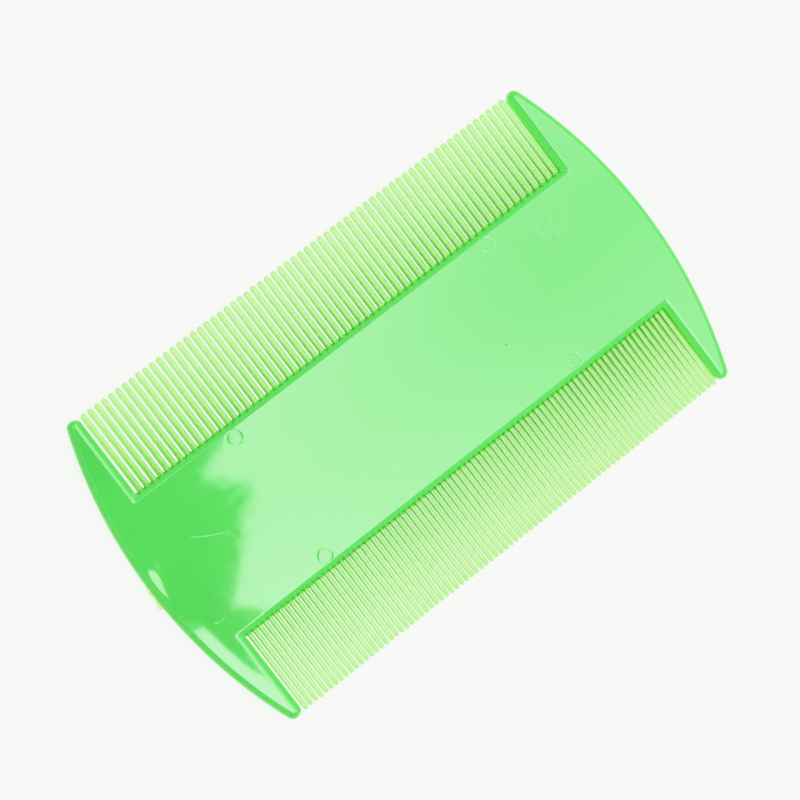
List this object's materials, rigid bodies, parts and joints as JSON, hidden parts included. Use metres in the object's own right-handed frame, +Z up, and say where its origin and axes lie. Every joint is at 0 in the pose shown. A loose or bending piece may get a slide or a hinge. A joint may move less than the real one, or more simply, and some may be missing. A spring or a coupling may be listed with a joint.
{
  "type": "flea comb",
  "caption": "Flat double-sided flea comb in translucent green plastic, with a coarse row and a fine row of teeth, broad guard teeth and curved ends.",
  "frame": {"origin": "centre of the flat underside, midway between the end arcs and between the two rows", "axes": "+X along the comb, away from the end with the gate stub; +Y towards the coarse row; +Z up through the thickness"},
  "size_m": [0.0907, 0.052, 0.0024],
  "materials": {
    "body_plastic": "polished translucent green polystyrene with faint flow marks and fine scratches",
    "tooth_plastic": "the same plastic, thin enough to let light through, so paler and yellower towards the tips",
    "torn_plastic": "torn, stress-whitened plastic"
  },
  "bodies": {
    "root": {"centre_plate": "body_plastic", "left_end_plate": "body_plastic", "right_end_plate": "body_plastic", "coarse_root_bar": "body_plastic", "fine_root_bar": "body_plastic", "coarse_teeth": "tooth_plastic", "fine_teeth": "tooth_plastic", "left_coarse_guard_tooth": "body_plastic", "left_fine_guard_tooth": "body_plastic", "right_coarse_guard_tooth": "body_plastic", "right_fine_guard_tooth": "body_plastic", "gate_vestige": "torn_plastic"}
  },
  "joints": []
}
